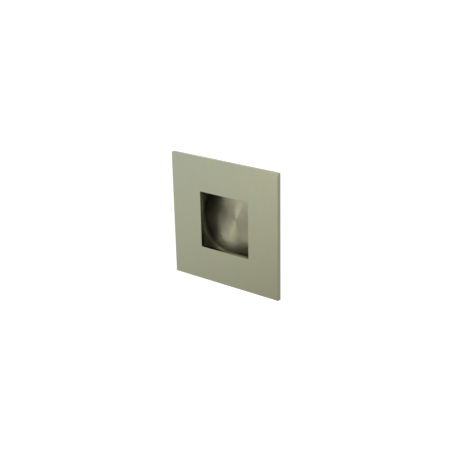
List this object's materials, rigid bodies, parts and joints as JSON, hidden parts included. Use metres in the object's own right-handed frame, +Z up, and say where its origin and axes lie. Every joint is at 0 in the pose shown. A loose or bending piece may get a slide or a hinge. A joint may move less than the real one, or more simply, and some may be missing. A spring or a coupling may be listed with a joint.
{
  "type": "pocket door pull",
  "caption": "Square flush pull for a sliding pocket door: flat satin steel plate with a square opening over a round spun cup, screwed to the door through a hidden flange.",
  "frame": {"origin": "on the cup's axis, in the plane of the door's face", "axes": "+X across the plate, +Y into the door, +Z up; the plate's face looks along -Y"},
  "size_m": [0.09, 0.0176, 0.09],
  "materials": {
    "plate_steel": "fine satin, warm grey with a faint olive cast",
    "cup_steel": "spun, with fine rings about the cup's centre",
    "mounting_tape": "matt foam",
    "screw_steel": "bright zinc plated"
  },
  "bodies": {
    "root": {"face_plate": "plate_steel", "finger_cup": "cup_steel", "bond_ring": "mounting_tape", "fixing_screw_1": "screw_steel", "fixing_screw_2": "screw_steel", "fixing_screw_3": "screw_steel", "fixing_screw_4": "screw_steel"}
  },
  "joints": []
}
